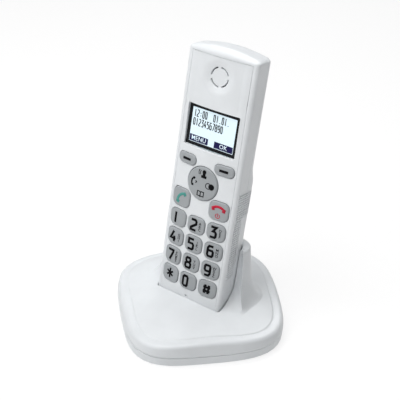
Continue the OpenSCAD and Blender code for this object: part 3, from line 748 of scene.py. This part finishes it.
talk, end = KEYS["talk_key"], KEYS["end_key"]
print_on("print_talk_key", handset_icon(talk.at + [-0.6, 0.6], 5.0, 50), on(talk), "talk_key_body", GREEN)
print_on("print_end_key", handset_icon(end.at + [0, 2.4], 4.9, 0), on(end), "end_key_body", RED)
power_icon = [ribbon(arc_line(end.at + [0, -3.0], 1.45, 115, 425, 22), 0.45),
              ribbon([end.at + [0, -3.6], end.at + [0, -1.2]], 0.45)]
print_on("print_power", power_icon, on(end), "end_key_body", RED)


def nav_line(width, *points):
    """A band through points given from the middle of the navigation pad."""
    return ribbon([NAV + point for point in points], width)


def nav_arc(at, r, a0, a1, n):
    return ribbon(arc_line(NAV + at, r, a0, a1, n), 0.5)


calling_person = [disc(NAV + [0.8, 8.0], 1.35), nav_line(2.1, (0.8, 7.4), (0.8, 4.8)),
                  nav_line(1.7, (-1.1, 4.9), (2.7, 4.9)),
                  nav_arc((0.2, 7.4), 2.2, 145, 215, 6), nav_arc((0.2, 7.4), 3.3, 150, 210, 6)]
outgoing_call = [*handset_icon(NAV + [-7.0, 0.2], 3.1, 80),
                 nav_line(0.6, (-4.6, 1.0), (-3.8, 0.2), (-4.6, -0.6))]
two_discs = [disc(NAV + [6.9, 0], 2.0), nav_arc((4.7, 0), 1.8, 40, 320, 18)]
cover = ((-2.3, -5.0), (-2.3, -8.0), (-0.4, -8.0), (0, -8.4), (0.4, -8.0), (2.3, -8.0), (2.3, -5.0),
         (0.5, -5.0), (0, -5.5), (-0.5, -5.0), (-2.4, -5.0))
book = [nav_line(0.6, *cover), nav_line(0.6, (0, -5.5), (0, -8.3))]
print_on("print_nav", calling_person + outgoing_call + two_discs + book, on(NAV_KEY), "nav_body", INK)


# ---------------------------------------------------------------- display
def panel(name, at, w, h, w_top, thick, look, replaces=(), r=0.5):
    """A flat rounded panel whose top lies at w_top in the handset's depth."""
    outline = Outline(at, w, h, r)
    rings = [[(x, y, z) for x, y in outline.ring(inset, 48)]
             for inset, z in ((0, w_top - thick), (0, w_top - 0.1), (-0.1, w_top))]
    patch = Patch()
    patch.rings(rings)
    piece(name, patch, HANDSET, "handset", look, replaces, sharp=30)


def print_display(name, shapes, height, look):
    """Shapes on the display, at this height over the display's border."""
    print_on(name, shapes, lambda p: np.full(len(p), LENS_W + height), "handset", look, 0.02)


panel("display_panel", WINDOW, WIN_W - 0.2, WIN_H - 0.2, LENS_W, 1.0, BORDER, ("display_lens",))
panel("display_field", WINDOW, LCD_W, LCD_H, LENS_W + 0.06, 0.05, SCREEN, r=0.3)
for name, text, side in (("left", "MENU", -1), ("right", "OK", 1)):
    at = WINDOW + [side * 8.9, -LCD_H / 2 + 2.4]
    panel("display_bar_" + name, at, 13.4, 4.2, LENS_W + 0.09, 0.03, NAVY, r=0.2)
    print_display("display_label_" + name, [words(text, at, 3.9)], 0.1, SCREEN)


def display_line(text, y):
    """A row of tall narrow signs on the display."""
    shapes = []
    for k, sign in enumerate(text):
        shapes += glyph(sign, np.array([-13.75 + 1.98 * k, WINDOW[1] + y]), 1.3, 4.4, 0.56)
    return shapes


both_lines = display_line("12:00  01.01.", 7.4) + display_line("01234567890", 1.9)
print_display("display_lines", both_lines, 0.07, INK)


# ---------------------------------------------------------------- base plinth
def plan_radius(a):
    total = sum(np.maximum(0, np.cos(a - math.radians(n))) ** PLAN_POWER / d ** PLAN_POWER for n, d in PLAN)
    return total ** (-1 / PLAN_POWER)


def rim_height(a):
    """Height of the rim, which rises where the plan comes closer to its middle."""
    return WALL + (WALL_R ** 2 - plan_radius(a) ** 2) / WALL_RISE


def angles():
    """Even steps round the plan, with the sides of the rear holes among them."""
    steps = list(np.radians(np.arange(0, 360, 1.5)))
    for low, high, _ in REAR_HOLES:
        for x in (low, high):
            a = math.pi / 2
            for _ in range(20):
                a = math.acos(x / (plan_radius(a) - DRAFT / 2))
            nearest = min(range(len(steps)), key=lambda i: abs(steps[i] - a))
            steps[nearest] = a
    return np.array(steps)


ANGLES = angles()


def plan_ring(inset, z):
    r = plan_radius(ANGLES) - inset
    return np.column_stack([r * np.cos(ANGLES), PLAN_Y + r * np.sin(ANGLES), z + 0 * ANGLES])


def deck_height(p):
    """The deck falls from its middle to a small ledge along the rim."""
    v = p - [0, PLAN_Y]
    a = np.arctan2(v[:, 1], v[:, 0])
    ledge_r = plan_radius(a) - DRAFT - DECK_IN
    r = np.linalg.norm(v, axis=1)
    z = DECK - (DECK - rim_height(a) - LEDGE) * np.clip(r / ledge_r, 0, 1) ** 1.6
    return z - LEDGE * smooth((r - ledge_r) / LEDGE)


def well_y(z, depth):
    """Where a plane this far behind the handset's face stands at height z."""
    return SEAT.y + (z - SEAT.z) * math.tan(TILT) + depth / math.cos(TILT)


def well_loop(grow):
    """Where the handset's outline, grown by grow, meets the deck, and that outline itself."""
    half = half_section(PLAIN_Y, grow=grow, ribs=False)
    keep = [0, 1, 2, 3, 4, 6, 7, 8, 9, 10, 14, 18, 22, 26, 29, 33, 37]
    section = mirrored(half[keep + list(range(38, STATIONS))])
    z = np.full(len(section), 21.0)
    for _ in range(6):
        mouth = np.column_stack([section[:, 0], well_y(z, -section[:, 1])])
        z = deck_height(mouth)
    return mouth, section


class WellHole:
    """The well's mouth as a hole in the deck."""

    def __init__(self):
        self.poly, self.section = well_loop(WELL)

    def ring(self, level):
        return well_loop(WELL + level)[0]

    def sd(self, p):
        return np.where(inside(p, self.poly), -1, 1) * edge_distance(p, self.poly)


def deck_sheet(well):
    """The deck from the rim's inner edge to the well, with rings of points along the ledge."""
    insets = (RIM, RIM + 1.4, DECK_IN - 0.5, DECK_IN - 0.25, DECK_IN, DECK_IN + 0.4)
    edge, *rim = (plan_ring(DRAFT + inset, 0)[:, :2] for inset in insets)
    return sheet(edge, [well], deck_height, levels=(0, 0.15, 0.4, 0.8), fillet=0.6, step=2.2, depth=0,
                 rim=rim)


def add_wall(shell):
    """The side wall and rounded rim, open at the rear holes."""
    low = [SPLIT + 0.12, 8.25, 9.0]
    top = rim_height(ANGLES) - RIM
    rings = [plan_ring(DRAFT * z / WALL, z) for z in low] + [plan_ring(DRAFT, top)]
    for a in np.radians((15, 30, 45, 60, 75, 90)):
        rings.append(plan_ring(DRAFT + RIM * (1 - math.cos(a)), top + RIM * math.sin(a)))
    n, faces = len(ANGLES), []
    for k in range(len(rings) - 1):
        for i in range(n):
            j = (i + 1) % n
            x, y = (rings[0][i] + rings[0][j])[:2] / 2
            at_rear = y > 0 and k < 2
            if not (at_rear and any(x0 < x < x1 and low[k + 1] <= reach for x0, x1, reach in REAR_HOLES)):
                faces.append((k * n + i, k * n + j, (k + 1) * n + j, (k + 1) * n + i))
    shell.add([p for r in rings for p in r], faces)


def add_well(shell, well):
    """From the mouth of the well down to its floor, which steps down behind the shells' seam."""
    mouth = np.column_stack([well.poly, deck_height(well.poly) - 0.6])
    front, rear, step = [], [], {True: [], False: []}
    top, low = [], []

    def add(high, ahead, u, w):
        (front if ahead else rear).append(len(low))
        top.append(high)
        low.append(tuple(SEATED @ Vector((u, -WELL if ahead else WELL_REAR, w))))

    for (u, w), high, (next_u, next_w), next_high in zip(
            well.section, mouth, np.roll(well.section, -1, 0), np.roll(mouth, -1, 0)):
        ahead = w > WELL_STEP
        add(high, ahead, u, w)
        if (next_w > WELL_STEP) != ahead:
            t = (WELL_STEP - w) / (next_w - w)
            for side in (ahead, not ahead):
                step[bool(side)].append(len(low))
                add(high * (1 - t) + next_high * t, side, u + (next_u - u) * t, WELL_STEP)
    shell.rings([top, low], closed=False)
    shell.add(low, [front, rear, step[False] + step[True][::-1]])


well = WellHole()
shell = deck_sheet(well)
add_wall(shell)
add_well(shell, well)
piece("base_shell", shell, BASE, "base", BASE_WHITE, ("base_top_shell",), sharp=45, wall=1.6,
      weld=True)


# ---------------------------------------------------------------- collar
def flare(z):
    """How far the collar has swept outwards at height z, from 0 up on its wall to 1 at its foot."""
    over = min(FLARE, max(0.0, FLARE - (z - COLLAR_FOOT)))
    return 1 - math.sqrt(max(0.0, 1 - (over / FLARE) ** 2))


def collar_section(z, round_in=0.0):
    """Half outline of the collar at height z: well side, front crease, flank and back."""
    t, f = (COLLAR - z) / (COLLAR - COLLAR_FOOT), flare(z)
    sizes = (COLLAR_SIDE, COLLAR_FRONT, COLLAR_BACK)
    side, front, back = (top + lower * t + out * f for top, lower, out in sizes)
    x, y0, y1 = side - round_in, front + round_in, back - round_in
    corner, b = BACK_R + WELL, HALF + WELL + round_in
    depth = DEPTH - BACK_R + round_in
    edge = 16.9 - 17 * f
    half = [(b - corner + corner * math.cos(a), well_y(z, depth + corner * math.sin(a)))
            for a in np.radians(np.arange(90, -1, -10))]
    half += [(b, well_y(z, edge + (depth - edge) * s) + round_in * (1 - s)) for s in (0.5, 0.0)]
    end_x, end_y = half[-1]
    for s in (0.2, 0.4, 0.6, 0.8):
        half.append((end_x + (x - end_x) * s, end_y + (y0 - end_y) * s + 0.9 * math.sin(math.pi * s)))
    half.append((x, y0))
    for a in np.radians(np.arange(0, 91, 4.5)):
        c, s = max(0.0, math.cos(a)), math.sin(a)
        push = 4.0 * f * math.sin(2 * a)
        half.append(((x + 0.4) * c ** 0.6 + push, y0 + 4 + (y1 - y0 - 4) * s ** 0.6 + push))
    half[-1] = (0.0, half[-1][1])
    return np.array(half)


def collar_rings():
    """From inside the deck, up from a foot that follows the deck, to a level top with a rounded edge."""
    foot = collar_section(COLLAR_FOOT)
    deck = deck_height(foot)
    top = COLLAR - COLLAR_EDGE_R
    levels = [(z, 0.0) for z in COLLAR_FOOT + (top - COLLAR_FOOT) * np.linspace(0, 1, 60) ** 2]
    levels += [(top + COLLAR_EDGE_R * math.sin(a), COLLAR_EDGE_R * (1 - math.cos(a)))
               for a in np.radians((30, 60, 90))]
    out = foot - [0, 8]
    out /= np.linalg.norm(out, axis=1)[:, None]
    rings = [np.column_stack([foot + out * 0.5, deck - 0.5])]
    for z, round_in in levels:
        low = 1 - (z - COLLAR_FOOT) / (COLLAR - COLLAR_FOOT)
        rings.append(np.column_stack([collar_section(z, round_in), z + (deck - COLLAR_FOOT) * low ** 3]))
    return [mirrored(ring) for ring in rings]


collar = Patch()
collar.rings(collar_rings())
piece("collar", collar, BASE, "base", BASE_WHITE, ("base_collar",), sharp=38)


# ---------------------------------------------------------------- floor, light and camera
FLOOR_HALF, FLOOR_Z = 3.0, -0.0002     # in metres
# name, azimuth and elevation in degrees, distance and size in metres, power in watts
LIGHTS = (
    ("key_light", -30, 48, 1.1, 1.0, 6.6),
    ("top_light", -20, 82, 1.3, 1.2, 11.5),
    ("back_light", -165, 55, 1.5, 1.2, 8),
)
LIGHT_AIM = Vector((0, 0, 0.08))
WORLD = 0.03
AZIMUTH, ELEVATION, ROLL = math.radians(33.52), math.radians(32.207), math.radians(-2)
AIM = Vector((0, -8.0, 73.3))
DISTANCE, SIDE, UP = 543.28, 1.761, 15.901
FOCAL = 77.95


def floor():
    mesh = bpy.data.meshes.new("floor")
    corners = [(x * FLOOR_HALF, y * FLOOR_HALF, FLOOR_Z) for x, y in ((-1, -1), (1, -1), (1, 1), (-1, 1))]
    mesh.from_pydata(corners, [], [(0, 1, 2, 3)])
    mesh.materials.append(material("pale_floor", (0.3, 0.3, 0.3), 0.8, vary=0.002, glow=2.3))
    obj = bpy.data.objects.new("floor", mesh)
    bpy.context.scene.collection.objects.link(obj)


def soft_light(name, azimuth, elevation, distance, size, power):
    light = bpy.data.lights.new(name, "AREA")
    light.shape, light.size, light.energy = "DISK", size, power
    obj = bpy.data.objects.new(name, light)
    bpy.context.scene.collection.objects.link(obj)
    a, e = math.radians(azimuth), math.radians(elevation)
    away = Vector((math.sin(a) * math.cos(e), -math.cos(a) * math.cos(e), math.sin(e)))
    obj.location = LIGHT_AIM + away * distance
    obj.rotation_euler = away.to_track_quat("Z", "Y").to_euler()


def studio_world():
    world = bpy.data.worlds.new("studio")
    bpy.context.scene.world = world
    world.use_nodes = True
    background = world.node_tree.nodes["Background"]
    background.inputs["Color"].default_value = (1, 1, 1, 1)
    background.inputs["Strength"].default_value = WORLD


def place_camera():
    """Looks down on the phone from its front right, rolled a little and moved aside from its aim."""
    right = Vector((math.cos(AZIMUTH), math.sin(AZIMUTH), 0))
    up = Vector((-math.sin(AZIMUTH) * math.sin(ELEVATION), math.cos(AZIMUTH) * math.sin(ELEVATION),
                 math.cos(ELEVATION)))
    away = right.cross(up)
    optics = bpy.data.cameras.new("camera")
    optics.lens, optics.sensor_width = FOCAL, 36
    optics.clip_start, optics.clip_end = 0.01, 20
    camera = bpy.data.objects.new("camera", optics)
    bpy.context.scene.collection.objects.link(camera)
    turned_right = right * math.cos(ROLL) - up * math.sin(ROLL)
    turned_up = right * math.sin(ROLL) + up * math.cos(ROLL)
    place = Matrix.Translation((AIM + away * DISTANCE + right * SIDE + up * UP) * MM)
    camera.matrix_world = place @ Matrix((turned_right, turned_up, away)).transposed().to_4x4()
    bpy.context.scene.camera = camera


floor()
for light in LIGHTS:
    soft_light(*light)
studio_world()
place_camera()
bpy.context.scene.view_settings.view_transform = "Standard"
